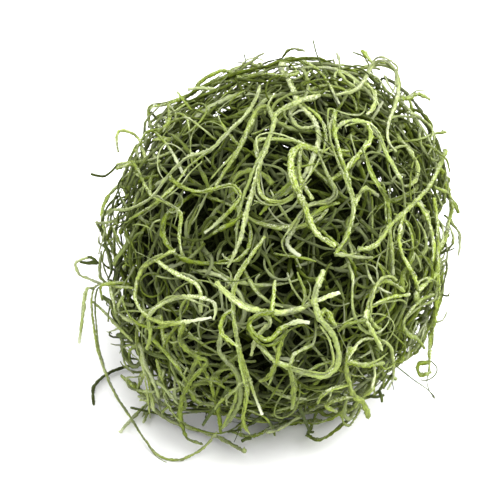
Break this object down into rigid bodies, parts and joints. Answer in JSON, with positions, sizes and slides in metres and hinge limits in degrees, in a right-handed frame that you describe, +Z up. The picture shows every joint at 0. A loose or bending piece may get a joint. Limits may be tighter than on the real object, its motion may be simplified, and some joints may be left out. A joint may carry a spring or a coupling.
{
  "type": "spanish moss bunch",
  "caption": "Dense ball of dyed green Spanish moss: curled, fuzzy leafy stems tangled round a matted heart, with loops straying at the edge.",
  "frame": {"origin": "middle of the small flat the bunch rests on, on the floor", "axes": "+Z up, -Y towards the front, +X to the right as seen from the front"},
  "size_m": [0.0817, 0.0839, 0.0775],
  "materials": {
    "moss_green": "matt, fuzzy with fine scales",
    "dead_stem": "matt, dry"
  },
  "bodies": {
    "root": {"dead_stem_left": "dead_stem", "dead_stem_low": "dead_stem", "leafy_stem_01": "moss_green", "leafy_stem_02": "moss_green", "leafy_stem_03": "moss_green", "leafy_stem_04": "moss_green", "leafy_stem_05": "moss_green", "leafy_stem_06": "moss_green", "leafy_stem_07": "moss_green", "leafy_stem_08": "moss_green", "leafy_stem_09": "moss_green", "leafy_stem_10": "moss_green", "leafy_stem_11": "moss_green", "leafy_stem_12": "moss_green", "leafy_stem_13": "moss_green", "leafy_stem_14": "moss_green", "leafy_stem_15": "moss_green", "leafy_stem_16": "moss_green", "leafy_stem_17": "moss_green", "leafy_stem_18": "moss_green", "leafy_stem_19": "moss_green", "leafy_stem_20": "moss_green", "leafy_stem_21": "moss_green", "leafy_stem_22": "moss_green", "leafy_stem_23": "moss_green", "leafy_stem_24": "moss_green", "leafy_stem_25": "moss_green", "leafy_stem_26": "moss_green", "leafy_stem_27": "moss_green", "matted_heart": "moss_green", "stem_big_loop": "moss_green", "stem_coil": "moss_green", "stem_crown_left": "moss_green", "stem_crown_right": "moss_green", "stem_crown_trunk": "moss_green", "stem_foot_curls": "moss_green", "stem_front_floor": "moss_green", "stem_front_low": "moss_green", "stem_left_floor": "moss_green", "stem_left_foot": "moss_green", "stem_left_fringe": "moss_green", "stem_left_ring": "moss_green", "stem_lower_middle": "moss_green", "stem_middle_loops": "moss_green", "stem_right_arches": "moss_green", "stem_right_drape": "moss_green", "stem_right_fringe": "moss_green", "stem_right_rings": "moss_green", "stem_top_left": "moss_green", "stem_top_right": "moss_green", "stem_trailing_loop": "moss_green"}
  },
  "joints": []
}
